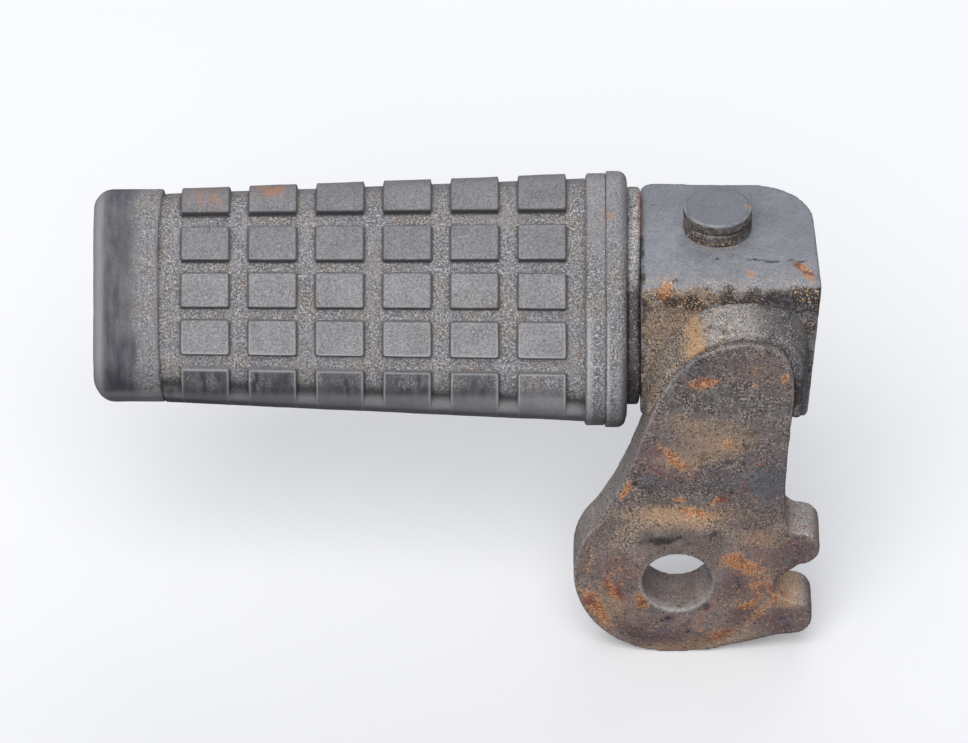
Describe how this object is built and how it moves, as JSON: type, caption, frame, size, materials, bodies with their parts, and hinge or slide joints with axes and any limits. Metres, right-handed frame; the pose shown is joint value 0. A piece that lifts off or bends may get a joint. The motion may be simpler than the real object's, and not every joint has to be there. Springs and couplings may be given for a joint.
{
  "type": "folding foot peg",
  "caption": "Folding rubber-padded foot peg hinged in a clevis block on a forged steel arm with a mounting bore and a locating fork.",
  "frame": {"origin": "centre of the mounting bore, halfway through the boss", "axes": "+Y along the mounting bore, away from the arm's plain face; +Z along the hinge pin towards its head; +X from the folded pad towards the fork"},
  "size_m": [0.145, 0.0543, 0.0939],
  "materials": {
    "painted_steel": "worn black paint over pitted, rusting forged steel",
    "pin_steel": "worn satin black paint",
    "plate_steel": "dull, rusty pressed steel",
    "bare_steel": "dull steel with light rust",
    "bronze": "sintered bronze",
    "rubber": "aged, dusty black rubber"
  },
  "bodies": {
    "bracket": {"clevis_block": "painted_steel", "mount_arm": "painted_steel", "arm_weld": "painted_steel", "hinge_pin": "pin_steel", "head_washer": "pin_steel", "tail_washer": "bare_steel", "split_pin": "bare_steel"},
    "peg": {"peg_core": "bare_steel", "hinge_bush": "bronze", "upper_shim": "bare_steel", "lower_shim": "bare_steel", "retaining_disc": "bare_steel", "pressure_plate": "plate_steel", "detent_cushion": "rubber", "tread_rubber": "rubber"}
  },
  "joints": [
    {"name": "peg_fold", "type": "hinge", "parent": "bracket", "child": "peg", "pos_m": [0.0076, 0.0236, 0.0497], "axis": [0, 0, -1], "range_deg": [0, 90], "deforming": ["detent_cushion", "pressure_plate"]}
  ]
}
